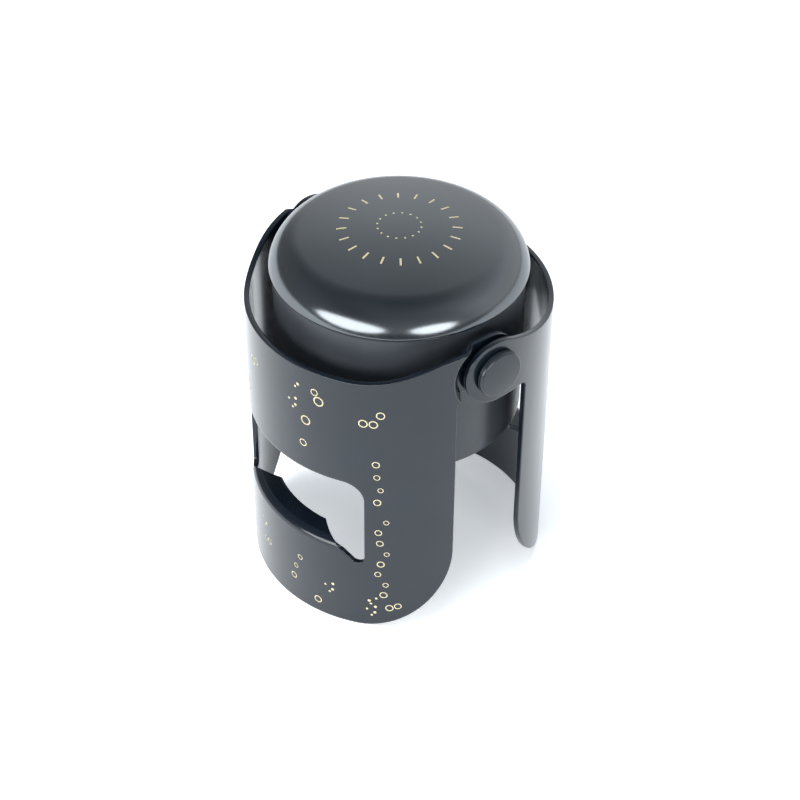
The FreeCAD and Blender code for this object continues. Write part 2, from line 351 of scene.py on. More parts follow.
def on_arc(centre, radius, degrees):
    turn = math.radians(degrees)
    return (centre[0] + radius * math.cos(turn), centre[1] + radius * math.sin(turn))


def heading(start, end):
    return math.degrees(math.atan2(end[1] - start[1], end[0] - start[0]))


def sweep(centre, radius, first, last, fewest=3, widest=5, longest=0.6):
    """Points along an arc, in steps of at most so many degrees and millimetres."""
    span = abs(last - first)
    steps = max(fewest, math.ceil(span / widest), math.ceil(math.radians(span) * radius / longest))
    return [on_arc(centre, radius, first + (last - first) * n / steps) for n in range(steps + 1)]


def fine_arc(centre, radius, first, last):
    """Points along an arc of a turned piece."""
    return sweep(centre, radius, first, last, fewest=4, widest=3, longest=0.7)


def apart(points, least):
    """The points, without those that lie on the one before."""
    kept = points[:1]
    for point in points[1:]:
        if math.dist(point, kept[-1]) > least:
            kept.append(point)
    return kept


def closed_outline(half, least=0.02):
    """Mirror the right half, from the bottom middle to the top middle, and drop doubles."""
    kept = apart(half + [(-x, y) for x, y in reversed(half)], least)
    return kept if math.dist(kept[0], kept[-1]) > least else kept[:-1]


def rim_points(wing, ear, from_angle, crest_radius, hollow_radius):
    """The rim from the ear's side, over its top and down to the flat middle."""
    crest = (ear[0], wing.pivot + wing.ear - crest_radius)
    flat = wing.pivot + wing.rim_rise
    rise = flat + hollow_radius - crest[1]
    reach = hollow_radius + crest_radius
    hollow = (crest[0] - math.sqrt(reach ** 2 - rise ** 2), flat + hollow_radius)
    turn = heading(crest, hollow)
    return (sweep(ear, wing.ear, from_angle, 90) + sweep(crest, crest_radius, 90, turn)
            + sweep(hollow, hollow_radius, turn - 180, -90) + [(0, flat)])


def wing_outline(wing, front):
    """The blank's outer edge: foot, side, neck, ear and rim."""
    ear = (math.pi / 2 * wing.radius, wing.pivot)
    half_width = wing.side_angle * wing.radius
    corner = (half_width - wing.foot_corner, wing.foot_corner)
    half = [(0, 0)] + sweep(corner, wing.foot_corner, -90, 0)
    if front:
        fillet_radius = wing.front_neck
        gap = ear[0] - half_width - fillet_radius
        drop = math.sqrt((wing.ear + fillet_radius) ** 2 - gap ** 2)
        fillet = (half_width + fillet_radius, wing.pivot - drop)
        turn = heading(fillet, ear)
        half += sweep(fillet, fillet_radius, 180, turn)
        half += rim_points(wing, ear, turn - 180, wing.front_crest, wing.front_hollow)
    else:
        fillet = (half_width + wing.rear_neck, wing.pivot - wing.ear - wing.rear_neck)
        half += sweep(fillet, wing.rear_neck, 180, 90)
        half += rim_points(wing, ear, -90, wing.rear_crest, wing.rear_hollow)
    return closed_outline(half)


def window_outline(wing):
    """The window with the tongue's blank standing in it, not yet folded."""
    side = wing.window_angle * wing.radius
    small = wing.window_low_corner
    slant = math.degrees(wing.tongue_slant)
    corner = (side - small, wing.bend_height - wing.relief + small)
    touch = on_arc(corner, small, -90 - slant)
    slope = math.tan(wing.tongue_slant)
    root = touch[0] - (wing.bend_height - touch[1]) / slope
    fold = wing.sheet + wing.bend_inside
    folded = fold * math.pi / 2 + wing.tongue_reach - fold
    tip = (root - folded / slope, wing.bend_height + folded)
    top = (side - wing.window_top_corner, wing.window_top - wing.window_top_corner)
    half = [(0, tip[1]), tip, (root, wing.bend_height)]
    half += sweep(corner, small, -90 - slant, 0)
    half += sweep(top, wing.window_top_corner, 0, 90) + [(0, wing.window_top)]
    return closed_outline(half)


def inset(loop, distance):
    """Move a closed line of points to its left by a distance."""
    moved = []
    for before, here, after in zip(loop[-1:] + loop[:-1], loop, loop[1:] + loop[:1]):
        one = Vector((here[0] - before[0], here[1] - before[1])).normalized()
        two = Vector((after[0] - here[0], after[1] - here[1])).normalized()
        lean = Vector((-one.y - two.y, one.x + two.x)).normalized()
        stretch = min(MITRE_MOST, 1 / max(MITRE_LEAST, lean.dot(Vector((-one.y, one.x)))))
        moved.append((here[0] + lean.x * distance * stretch, here[1] + lean.y * distance * stretch))
    return moved


def rivet_holes(wing, squeeze):
    """The holes in the ears, squeezed along the sheet so that rolling makes them round."""
    middle = math.pi / 2 * wing.radius
    circle = [on_arc((0, 0), wing.rivet_hole, -15 * step) for step in range(24)]
    return [[(side * middle + x * squeeze, wing.pivot + y) for x, y in circle] for side in (1, -1)]


def inside(point, loop):
    """Whether a closed line of points goes round this point."""
    crossings = 0
    for start, end in zip(loop, loop[1:] + loop[:1]):
        if (start[1] > point[1]) != (end[1] > point[1]):
            reach = start[0] + (point[1] - start[1]) * (end[0] - start[0]) / (end[1] - start[1])
            crossings += reach > point[0]
    return crossings % 2 == 1


def blank_mesh(wing, loops):
    """A plate of x along the sheet, y inward from its face and z up, with rounded edges.

    The first loop is the outer edge and runs anticlockwise; holes run clockwise.
    """
    steps = [math.radians(30 * n) for n in range(4)]  # A quarter turn, for the rounded edges
    edge = wing.edge
    rings = [(edge * (1 - math.sin(a)), edge * (1 - math.cos(a))) for a in steps]
    rings.insert(0, (rings[0][0] + wing.border, rings[0][1]))
    rings += [(inward, wing.sheet - wing.skin - depth) for inward, depth in reversed(rings)]
    blank = bmesh.new()
    caps = []
    for loop in loops:
        grown = []
        for inward, depth in rings:
            line = inset(loop, inward)
            grown.append([blank.verts.new((x, wing.skin + depth, z)) for x, z in line])
        for low, high in zip(grown[:-1], grown[1:]):
            count = len(low)
            for n in range(count):
                after = (n + 1) % count
                blank.faces.new((low[n], low[after], high[after], high[n]))
        caps.append((grown[0], grown[-1]))
    for side in (0, 1):
        border = [vertex for cap in caps for vertex in cap[side]]
        places = [Vector((vertex.co.x, vertex.co.z)) for vertex in border]
        edges, flat_loops, start = [], [], 0
        for cap in caps:
            count = len(cap[side])
            edges += [(start + n, start + (n + 1) % count) for n in range(count)]
            flat_loops.append([tuple(places[start + n]) for n in range(count)])
            start += count
        filled = delaunay_2d_cdt(places, edges, [], 0, 1e-7)
        for face in filled[2]:
            middle = sum((filled[0][n] for n in face), Vector((0, 0))) / 3
            if sum(inside(middle, loop) for loop in flat_loops) == 1:
                corners = [border[filled[3][n][0]] for n in face]
                blank.faces.new(corners)
    bmesh.ops.recalc_face_normals(blank, faces=blank.faces)
    return blank


def slice_blank(blank, axis, places, keep=lambda face: True):
    """Cut the plate along lines, so that it can be rolled or pressed there."""
    normal = Vector((1, 0, 0)) if axis == 0 else Vector((0, 0, 1))
    for place in places:
        near = [face for face in blank.faces if keep(face)
                and min(v.co[axis] for v in face.verts) < place < max(v.co[axis] for v in face.verts)]
        parts = set(near)
        for face in near:
            parts.update(face.edges)
            parts.update(face.verts)
        bmesh.ops.bisect_plane(
            blank, geom=list(parts), dist=1e-5, plane_co=normal * place, plane_no=normal)


def fold_tongue(wing, blank):
    """Bend the tongue inward round its inner radius."""
    fold = wing.sheet + wing.bend_inside
    side = wing.window_angle * wing.radius - TONGUE_SIDE
    straight = fold * math.pi / 2
    for vertex in blank.verts:
        along = vertex.co.z - wing.bend_height
        if 0 < along < wing.tongue_reach + TONGUE_OVER and abs(vertex.co.x) < side:
            arm = fold - vertex.co.y
            turn = min(along, straight) / fold
            vertex.co.y = fold - arm * math.cos(turn) + max(0, along - straight)
            vertex.co.z = wing.bend_height + arm * math.sin(turn)


def rolling_tree():
    """Rolls a flat plate round the cap's axis and presses its ears inward."""
    tree, asked = new_tree(
        "roll_sheet", ("Wing Radius", "Pivot Height", "Dish Reach", "Dish Depth", "Facing"))
    calc = calculator(tree, (-900, -300))
    place = node(tree, "GeometryNodeInputPosition", (-1400, -300))
    along, deep, height = node(tree, "ShaderNodeSeparateXYZ", (-1200, -300), {0: place}).outputs
    radius = asked["Wing Radius"]
    turn = calc("DIVIDE", along, radius)
    across = calc("MULTIPLY", calc("COSINE", turn), radius)
    above = calc("SUBTRACT", height, asked["Pivot Height"])
    squares = calc("ADD", calc("MULTIPLY", across, across), calc("MULTIPLY", above, above))
    reach = asked["Dish Reach"]
    dish = remap(tree, (-600, -500), calc("SQRT", squares), calc("SUBTRACT", reach, STEP_WITHIN),
                 calc("ADD", reach, STEP_BEYOND), asked["Dish Depth"], 0.0, "SMOOTHERSTEP")
    out = calc("SUBTRACT", radius, calc("ADD", deep, dish))
    bearing = calc("ADD", turn, asked["Facing"])
    rolled = node(tree, "ShaderNodeCombineXYZ", (-300, -300), {
        "X": calc("MULTIPLY", out, calc("SINE", bearing)),
        "Y": calc("MULTIPLY", calc("MULTIPLY", out, calc("COSINE", bearing)), -1.0),
        "Z": height})
    moved = node(tree, "GeometryNodeSetPosition", (-100, 0), {
        "Geometry": asked["Geometry"], "Position": rolled})
    real = node(tree, "GeometryNodeRealizeInstances", (100, 0), {0: moved})
    return hand_over(tree, finished(tree, real, asked["Finish"]))


def placed(name, data):
    """A new object in the scene."""
    made = bpy.data.objects.new(name, data)
    bpy.context.scene.collection.objects.link(made)
    return made


def worked_out(piece, modifier):
    """The piece's mesh as its modifier makes it; the modifier is taken off."""
    graph = bpy.context.evaluated_depsgraph_get()
    result = bpy.data.meshes.new_from_object(piece.evaluated_get(graph), depsgraph=graph)
    piece.modifiers.remove(modifier)
    return result


def grown(name, mesh, tree, values):
    """Run a geometry tree on a mesh and keep its result as a plain object in metres."""
    made = placed(name, mesh)
    modifier = made.modifiers.new("nodes", "NODES")
    modifier.node_group = tree
    for item in tree.interface.items_tree:
        if item.item_type == "SOCKET" and item.in_out == "INPUT" and item.name in values:
            modifier[item.identifier] = values[item.name]
    made.data = worked_out(made, modifier)
    made.data.transform(Matrix.Scale(MM, 4))
    made.data.name = name
    return made


def smooth(piece, degrees=35):
    """Shade round, with broad faces kept flat and real corners crisp."""
    piece.data.shade_smooth()
    piece.data.set_sharp_from_angle(angle=math.radians(degrees))
    weighted = piece.modifiers.new("weighted", "WEIGHTED_NORMAL")
    weighted.keep_sharp = True
    piece.data = worked_out(piece, weighted)


class STOPPER_OT_wings(bpy.types.Operator):
    """Cut both wings from flat sheet, fold their tongues and roll them"""
    bl_idname = "stopper.wings"
    bl_label = "Wings"

    def execute(self, context):
        wing = sizes()
        tree = rolling_tree()
        look = paint()
        finish = speckled_finish("wing_paint", look.wing, look.roughness, look.grain, look.bump,
                                 spread=0.02, ior=look.wing_ior, coat=look.coat)
        for name, front in (("front_wing", True), ("rear_wing", False)):
            squeeze = wing.radius / (wing.radius - EAR_DEPTHS[front])
            window = list(reversed(window_outline(wing)))
            loops = [wing_outline(wing, front), window] + rivet_holes(wing, squeeze)
            blank = blank_mesh(wing, loops)
            self.cut(wing, blank, front)
            fold_tongue(wing, blank)
            mesh = bpy.data.meshes.new(name + "_blank")
            blank.to_mesh(mesh)
            blank.free()
            piece = grown("rolled_" + name, mesh, tree, {
                "Wing Radius": wing.radius,
                "Pivot Height": wing.pivot,
                "Dish Reach": wing.dish_reach,
                "Dish Depth": wing.dish_depth if front else 0.0,
                "Facing": 0.0 if front else math.pi,
                "Finish": finish,
            })
            smooth(piece)
            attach(piece, name)
            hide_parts(name)
        return {"FINISHED"}

    def cut(self, wing, blank, front):
        """Cut the blank where it folds, rolls and is dished"""
        fold = (wing.sheet + wing.bend_inside) * math.pi / 2
        low = wing.bend_height
        slice_blank(blank, 2, [low + fold * n / FOLD_STRIPS for n in range(FOLD_STRIPS + 1)])
        reach = math.pi / 2 * wing.radius + wing.ear
        step = wing.strip * wing.radius
        count = math.ceil(reach / step)
        slice_blank(blank, 0, [step * n for n in range(-count, count + 1)])
        if front:
            first, pitch, count = CUTS_ALONG
            near = math.pi / 2 * wing.radius - wing.dish_reach - first
            fine = [near + pitch * n for n in range(count)]
            slice_blank(blank, 0, [-place for place in fine] + fine)
            first, pitch, count = CUTS_UP
            heights = [wing.pivot - first + pitch * n for n in range(count)]
            slice_blank(blank, 2, heights,
                        lambda face: all(abs(v.co.x) > near - CUT_SLACK for v in face.verts))


# Gold print

def sized_points(name, spots):
    """Loose points of x, y, z and size."""
    mesh = bpy.data.meshes.new(name)
    mesh.from_pydata([spot[:3] for spot in spots], [], [])
    size = mesh.attributes.new("size", "FLOAT", "POINT")
    size.data.foreach_set("value", [spot[3] for spot in spots])
    return mesh


def bubble_tree():
    """Rings on points of the flat sheet, rolled on to the wing; small sizes fill to dots."""
    tree, asked = new_tree("bubble_print", ("Wing Radius", "Pivot Height", "Stroke", "Dot Limit"))
    size = node(tree, "GeometryNodeInputNamedAttribute", (-1400, -500), {"Name": "size"},
                data_type="FLOAT").outputs["Attribute"]
    small = node(tree, "FunctionNodeCompare", (-1100, -600), {"A": size, "B": asked["Dot Limit"]},
                 data_type="FLOAT", operation="LESS_THAN")
    large = node(tree, "FunctionNodeBooleanMath", (-800, -600), {0: small}, operation="NOT")
    outer = node(tree, "GeometryNodeCurvePrimitiveCircle", (-1400, 400), {"Resolution": 32})
    inner = node(tree, "GeometryNodeCurvePrimitiveCircle", (-1400, 200), {
        "Resolution": 32, "Radius": calculator(tree, (-1500, 100))("SUBTRACT", 1.0, asked["Stroke"])})
    both = node(tree, "GeometryNodeJoinGeometry", (-1200, 300))
    for circle in (outer, inner):
        tree.links.new(circle.outputs[0], both.inputs[0])
    marks = node(tree, "GeometryNodeJoinGeometry", (-250, 150))
    for shape, chosen, place in ((both, large, 300), (outer, small, 0)):
        filled = node(tree, "GeometryNodeFillCurve", (-1000, place), {"Curve": shape})
        upright = node(tree, "GeometryNodeTransform", (-800, place), {
            "Geometry": filled, "Rotation": (math.pi / 2, 0, 0)})
        laid = node(tree, "GeometryNodeInstanceOnPoints", (-500, place), {
            "Points": asked["Geometry"], "Instance": upright, "Scale": size, "Selection": chosen})
        tree.links.new(laid.outputs[0], marks.inputs[0])
    real = node(tree, "GeometryNodeRealizeInstances", (0, 150), {0: marks})
    passed_on = {name: asked[name] for name in ("Wing Radius", "Pivot Height", "Finish")}
    rolled = node(tree, "GeometryNodeGroup", (300, 150), {"Geometry": real, **passed_on},
                  node_tree=bpy.data.node_groups["roll_sheet"])
    return hand_over(tree, rolled)


# The print's own layout on the flat sheet, as distance from the wing's middle and height.
# Each string: first bubble, count, sway, pitch and radius
STRINGS = (
    ((19.2, 7.0), 8, 0.75, 2.2, 0.64),
    ((18.6, 26.4), 4, 0.4, 2.5, 0.62),
    ((4.2, 5.0), 3, 0.8, 2.4, 0.6),
    ((-15.6, 3.4), 4, 0.9, 2.1, 0.55),
    ((-20.5, 6.0), 6, 0.7, 3.4, 0.6),
)
# Each cluster: middle and radii
CLUSTERS = (
    ((16.4, 41.6), (0.72, 0.7)),
    ((19.0, 43.4), (0.68,)),
    ((9.4, 43.6), (0.86, 0.62)),
    ((7.0, 39.0), (0.86,)),
    ((6.4, 34.4), (0.66,)),
    ((-6.5, 42.0), (0.85, 0.6)),
    ((-12.8, 38.6), (0.85,)),
    ((20.4, 4.2), (0.66, 0.6)),
    ((8.4, 2.6), (0.68,)),
    ((-3.2, 7.2), (0.62, 0.5)),
    ((-17.5, 33.0), (0.75, 0.6)),
)
# Each row of fizz: first dot and count
FIZZ = (
    ((17.6, 2.4), 7), ((4.6, 40.4), 4), ((5.2, 44.6), 2), ((10.6, 5.4), 4), ((-9.6, 34.0), 5),
    ((-4.6, 9.8), 3),
)
FIZZ_SWAY, FIZZ_PITCH, FIZZ_SIZES = 0.75, 0.62, (0.2, 0.25)
CLUSTER_GAP = 0.12
# Radians from one bubble to the next, in a string's sway, its sizes and a cluster or fizz
SWAY_TURN, SIZE_TURN, SPIRAL_TURN = 1.9, 2.3, 2.4


def bubble_spots(depth):
    """Bubbles in wavering strings, loose clusters and fizz: x, depth, z and size."""
    spots = []
    for (x, z), count, sway, pitch, big in STRINGS:
        for n in range(count):
            size = big * (0.85 + 0.15 * math.cos(SIZE_TURN * n))
            spots.append((x + sway * math.sin(SWAY_TURN * n + x), depth, z + n * pitch, size))
    for (x, z), radii in CLUSTERS:
        for n, size in enumerate(radii):
            turn = SPIRAL_TURN * n + z
            gap = radii[0] + size + CLUSTER_GAP if n else 0.0
            spots.append((x + gap * math.cos(turn), depth, z + gap * math.sin(turn), size))
    for (x, z), count in FIZZ:
        for n in range(count):
            sway = FIZZ_SWAY * math.sin(SPIRAL_TURN * n)
            spots.append((x + sway, depth, z + FIZZ_PITCH * n, FIZZ_SIZES[n % 2]))
    return spots


def tick_tree():
    """Marks laid round a circle on the cover's crown, each in line with the middle."""
    tree, asked = new_tree(
        "crown_ticks", ("Circle Radius", "Count", "Length", "Width", "Crown Radius", "Crown Top"))
    calc = calculator(tree, (-600, -400))
    line = node(tree, "GeometryNodePoints", (-1300, 200), {"Count": asked["Count"]})
    index = node(tree, "GeometryNodeInputIndex", (-1300, -200))
    turn = calc("MULTIPLY", calc("DIVIDE", index, asked["Count"]), 2 * math.pi)
    spot = node(tree, "ShaderNodeCombineXYZ", (-900, -100), {
        "X": calc("MULTIPLY", calc("COSINE", turn), asked["Circle Radius"]),
        "Y": calc("MULTIPLY", calc("SINE", turn), asked["Circle Radius"])})
    laid = node(tree, "GeometryNodeSetPosition", (-700, 200), {"Geometry": line, "Position": spot})
    bar = node(tree, "GeometryNodeMeshGrid", (-900, 500), {
        "Vertices X": 6, "Vertices Y": 2, "Size X": asked["Length"], "Size Y": asked["Width"]})
    facing = node(tree, "ShaderNodeCombineXYZ", (-700, -200), {"Z": turn})
    marks = node(tree, "GeometryNodeInstanceOnPoints", (-400, 200), {
        "Points": laid, "Instance": bar, "Rotation": facing})
    real = node(tree, "GeometryNodeRealizeInstances", (-200, 200), {0: marks})
    here = node(tree, "GeometryNodeInputPosition", (-1300, -500))
    x, y, _ = node(tree, "ShaderNodeSeparateXYZ", (-1100, -500), {0: here}).outputs
    level = calc("ADD", calc("MULTIPLY", x, x), calc("MULTIPLY", y, y))
    radius = asked["Crown Radius"]
    rise = calc("SQRT", calc("SUBTRACT", calc("MULTIPLY", radius, radius), level))
    height = calc("ADD", calc("SUBTRACT", rise, radius), asked["Crown Top"])
    on_crown = node(tree, "ShaderNodeCombineXYZ", (0, -300), {"X": x, "Y": y, "Z": height})
    lifted = node(tree, "GeometryNodeSetPosition", (200, 200), {"Geometry": real, "Position": on_crown})
    return hand_over(tree, finished(tree, lifted, asked["Finish"]))


def gold_finish():
    return speckled_finish("gold_print", printing().gold, roughness=0.42, grain=0.25, bump=0.1,
                           spread=0.08, tint=0.08, metallic=0.35)


class STOPPER_OT_bubbles(bpy.types.Operator):
    """Print gold bubbles on the front wing"""
    bl_idname = "stopper.bubbles"
    bl_label = "Bubble Print"

    def execute(self, context):
        wing = sizes()
        look = printing()
        points = sized_points("bubble_spots", bubble_spots(wing.skin - look.lift))
        piece = grown("bubble_print", points, bubble_tree(), {
            "Wing Radius": wing.radius,
            "Pivot Height": wing.pivot,
            "Stroke": look.stroke,
            "Dot Limit": look.dot_limit,
            "Finish": gold_finish(),
        })
        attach(piece, "front_wing")
        return {"FINISHED"}


class STOPPER_OT_crown_marks(bpy.types.Operator):
    """Print a plain circle of gold ticks on the cover"""
    bl_idname = "stopper.crown_marks"
    bl_label = "Crown Marks"

    def execute(self, context):
        look = printing()
        tree = tick_tree()
        rows = (
            ("crown_ticks", look.tick_circle, look.ticks, look.tick_length, look.tick_width),
            ("crown_dots", look.dot_circle, look.dots, look.dot_size, look.dot_size),
        )
        for name, radius, count, long, wide in rows:
            empty = bpy.data.meshes.new(name)
            empty.from_pydata([(0, 0, 0)], [], [])
            piece = grown(name, empty, tree, {
                "Circle Radius": radius,
                "Count": float(count),
                "Length": long,
                "Width": wide,
                "Crown Radius": COVER_TOP - cover_arcs()[2][1],
                "Crown Top": COVER_TOP + look.lift,
                "Finish": gold_finish(),
            })
            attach(piece, "cap")
        return {"FINISHED"}


# Turned pieces

class STOPPER_OT_cover(bpy.types.Operator):
    """Turn the domed cover, with its lower edge rolled under"""
    bl_idname = "stopper.cover"
    bl_label = "Cover"

    def execute(self, context):
        look = cap()
        shoulder, slope, crown = cover_arcs()
        start = on_arc(shoulder, look.shoulder, slope)
        lip = (start[0] - look.lip * math.cos(look.slope), start[1] - look.lip * math.sin(look.slope))
        turn = heading(crown, shoulder)
        profile = [(lip[0] - LIP_RETURN, lip[1] - look.lip)] + fine_arc(lip, look.lip, -90, slope)
        profile += fine_arc(shoulder, look.shoulder, slope, turn)
        profile += fine_arc(crown, COVER_TOP - crown[1], turn, 90)
        piece = turned_piece("turned_cover", profile, COVER_SIDES)
        piece.data.materials.append(cover_finish())
        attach(piece, "cap")
        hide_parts("cap_cover")
        return {"FINISHED"}


def cover_arcs():
    """Middle of the cover's shoulder, the edge's slope in degrees and the crown's middle.

    The arcs of shoulder and crown meet smoothly.
    """
    look = cap()
    corner = look.shoulder
    radius = COVER_HIGH.x / MM + look.overhang
    start = COVER_LOW.z / MM + COVER_RAISE + look.lip * (1 + math.sin(look.slope))
    shoulder = (radius - corner * math.cos(look.slope), start - corner * math.sin(look.slope))
    depth = COVER_TOP - shoulder[1]
    crown_radius = (shoulder[0] ** 2 + depth ** 2 - corner ** 2) / (2 * (depth - corner))
    return shoulder, math.degrees(look.slope), (0.0, COVER_TOP - crown_radius)


def domed(radius, edge_radius, crown_radius, top):
    """Profile from the widest place, over a rounded shoulder, to the middle of a crown."""
    crown = (0.0, top - crown_radius)
    rise = math.sqrt((crown_radius - edge_radius) ** 2 - (radius - edge_radius) ** 2)
    shoulder = (radius - edge_radius, crown[1] + rise)
    turn = heading(crown, shoulder)
    return fine_arc(shoulder, edge_radius, 0, turn) + fine_arc(crown, crown_radius, turn, 90)


def turned_piece(name, profile, count, lay=Matrix.Identity(4)):
    """Turn a profile of (radius, height), in millimetres, about Z, and then lay it in place."""
    turned = bmesh.new()
    rings = []
    for radius, height in apart(profile, SAME_PLACE):
        if radius < ON_AXIS:
            rings.append([turned.verts.new((0, 0, height * MM))])
            continue
        turns = [2 * math.pi * n / count for n in range(count)]
        rings.append([turned.verts.new((radius * MM * math.cos(turn), radius * MM * math.sin(turn),
                                        height * MM)) for turn in turns])
    for low, high in zip(rings[:-1], rings[1:]):
        for n in range(count):
            after = (n + 1) % count
            if len(high) == 1:
                turned.faces.new((low[n], low[after], high[0]))
            elif len(low) == 1:
                turned.faces.new((low[0], high[after], high[n]))
            else:
                turned.faces.new((low[n], low[after], high[after], high[n]))
    mesh = bpy.data.meshes.new(name)
    turned.transform(lay)
    turned.to_mesh(mesh)
    turned.free()
    piece = placed(name, mesh)
    mesh.shade_smooth()
    mesh.set_sharp_from_angle(angle=math.radians(TURNED_CREASE))
    return piece


class STOPPER_OT_rivets(bpy.types.Operator):
    """Turn the rivets, with slightly domed button heads"""
    bl_idname = "stopper.rivets"
    bl_label = "Rivets"

    def execute(self, context):
        look = paint()
        finish = speckled_finish("rivet_paint", look.rivet, look.rivet_roughness, look.grain,
                                 look.bump, spread=0.02)
        for side, name in ((1, "rivet_right"), (-1, "rivet_left")):
            low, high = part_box(name)
            ends = sorted((abs(low.x) / MM, abs(high.x) / MM))
            head = (high.z - low.z) / 2 / MM
            shank = look.rivet_shank
            under = ends[1] - look.rivet_head
            profile = [(0, ends[0]), (shank, ends[0]), (shank, under), (head - RIVET_BEVEL, under)]
            profile += [(head, under + RIVET_BEVEL)]
            profile += domed(head, look.rivet_edge, look.rivet_crown, ends[1])
            raised = Matrix.Translation((0, 0, PIVOT_HEIGHT * MM))
            lay = raised @ Matrix.Rotation(side * math.pi / 2, 4, "Y")
            piece = turned_piece("turned_" + name, profile, RIVET_SIDES, lay)
            piece.data.materials.append(finish)
            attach(piece, "cap")
            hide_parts(name)
        return {"FINISHED"}


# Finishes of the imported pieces

class STOPPER_OT_finishes(bpy.types.Operator):
    """Give the cap, rivets, washers, seal and wings their finishes"""
    bl_idname = "stopper.finishes"
    bl_label = "Finishes"

    def execute(self, context):
        looks = cap()
        wings = paint()
        dress("cap_cover", cover_finish())
        dress("cap_body", speckled_finish(
            "cap_moulding", looks.moulding, roughness=0.34, grain=0.4, bump=0.05, spread=0.02))
        dress("rubber_seal", speckled_finish(
            "seal_rubber", looks.rubber, roughness=0.6, grain=0.3, bump=0.3))
        for side in ("left", "right"):
            dress("rivet_" + side, speckled_finish(
                "rivet_node_" + side, wings.rivet, wings.rivet_roughness, wings.grain, wings.bump))
            dress("spacer_washer_" + side, speckled_finish(
                "washer_nylon_" + side, looks.washer, roughness=0.45, grain=0.3, bump=0.2))
        for wing in ("front_wing", "rear_wing"):
            dress(wing, speckled_finish(
                wing + "_paint", wings.wing, wings.roughness, wings.grain, wings.bump))
        return {"FINISHED"}


# Studio

def lamp(name, place, size, power):
    """A soft elliptical lamp that looks at the object and isn't seen itself."""
    data = bpy.data.lights.new(name, "AREA")
    data.shape = "ELLIPSE"
    data.size, data.size_y = size
    data.energy = power
    made = placed(name, data)
    made.visible_camera = False
    made.location = place
    made.rotation_euler = (Vector(LAMP_TARGET) - Vector(place)).to_track_quat("-Z", "Y").to_euler()
    return made


def around(azimuth, elevation, distance):
    """A point seen from the object under this azimuth and elevation, in degrees and metres."""
    turn = math.radians(azimuth)
    rise = math.radians(elevation)
    level = distance * math.cos(rise)
    return (level * math.sin(turn), -level * math.cos(turn), distance * math.sin(rise))


def white_surroundings(strength):
    """Pale surroundings: white where they are seen, and darker in the paint's reflections
    overhead, on the camera's side and on its left."""
    world = bpy.data.worlds.new("surroundings")
    bpy.context.scene.world = world
    world.use_nodes = True
    tree = world.node_tree
    tree.nodes.clear()
    calc = calculator(tree, (-700, -400))
    rays = node(tree, "ShaderNodeLightPath", (-900, 400)).outputs
    toward = node(tree, "ShaderNodeTexCoord", (-1300, 0)).outputs["Generated"]
    rise = node(tree, "ShaderNodeSeparateXYZ", (-1100, 0), {0: toward}).outputs["Z"]
    levels = ((0.5, 0.98), (0.82, 0.5), (0.94, 0.22))
    heights = ramp(tree, (-900, 0), rise, (0, (1, 1, 1)), (1, (0.1, 0.11, 0.13)),
                   *((at, (level * 0.96, level * 0.98, level)) for at, level in levels))
    turn = studio().azimuth
    camera_side, right_side = (
        node(tree, "ShaderNodeVectorMath", (-1100, -300), {0: toward, 1: (x, y, 0)},
             operation="DOT_PRODUCT").outputs["Value"]
        for x, y in ((math.sin(turn), -math.cos(turn)), (math.cos(turn), math.sin(turn))))
    dim = remap(tree, (-900, -300), camera_side, 0.1, 0.75, 1.0, 0.4, "SMOOTHSTEP")
    shade = remap(tree, (-900, -550), right_side, -0.6, 0.0, 0.25, 1.0, "SMOOTHSTEP")
    under = remap(tree, (-900, -800), rise, -0.03, 0.05, 0.2, 1.0)
    soft = node(tree, "ShaderNodeBackground", (-500, -100), {
        "Color": (0.84, 0.93, 1.0, 1), "Strength": strength})
    mirrored = node(tree, "ShaderNodeBackground", (-500, 100), {
        "Color": heights, "Strength": calc("MULTIPLY", calc("MULTIPLY", dim, shade), under)})
    seen = node(tree, "ShaderNodeBackground", (-500, 300), {"Color": (1, 1, 1, 1)})
    glossy = node(tree, "ShaderNodeMixShader", (-250, 0), {
        0: rays["Is Glossy Ray"], 1: soft, 2: mirrored})
    clear = calc("MAXIMUM", rays["Is Camera Ray"], rays["Is Transmission Ray"])
    either = node(tree, "ShaderNodeMixShader", (0, 100), {0: clear, 1: glossy, 2: seen})
    node(tree, "ShaderNodeOutputWorld", (250, 100), {"Surface": either})


def floor_material(tone):
    """A pale floor with a painted glow, seen by the camera and in reflections: weaker near the object,
    so that its shadows stay, and turning it white in the open.
    """
    material, tree = fresh_material("studio_floor")
    calc = calculator(tree, (-450, 350))
    place = node(tree, "ShaderNodeTexCoord", (-900, 0)).outputs["Object"]
    mottle = node(tree, "ShaderNodeTexNoise", (-700, 0), {"Vector": place, "Scale": 40.0})
    tones = ramp(tree, (-500, 0), mottle, (0, [c * 0.995 for c in tone]), (1, tone))
    matte = node(tree, "ShaderNodeBsdfDiffuse", (-200, 0), {"Color": tones})
    rays = node(tree, "ShaderNodeLightPath", (-700, 500)).outputs
    # Painted glow: light of the floor's own, added for the camera and at 0.6 of it for reflections,
    # growing from 0.42 near the object to full further out
    reach = node(tree, "ShaderNodeVectorMath", (-700, 200), {0: place}, operation="LENGTH")
    far = remap(tree, (-600, 200), reach.outputs["Value"], 0.15, 0.6, 0.42, 1.0)
    seen = calc("MULTIPLY_ADD", rays["Is Glossy Ray"], 0.6, rays["Is Camera Ray"])
    glow = node(tree, "ShaderNodeEmission", (-200, 200), {
        "Color": (0.9, 0.95, 1.0, 1), "Strength": calc("MULTIPLY", seen, far)})
    both = node(tree, "ShaderNodeAddShader", (50, 100), {0: matte, 1: glow})
    node(tree, "ShaderNodeOutputMaterial", (250, 100), {"Surface": both})
    return material


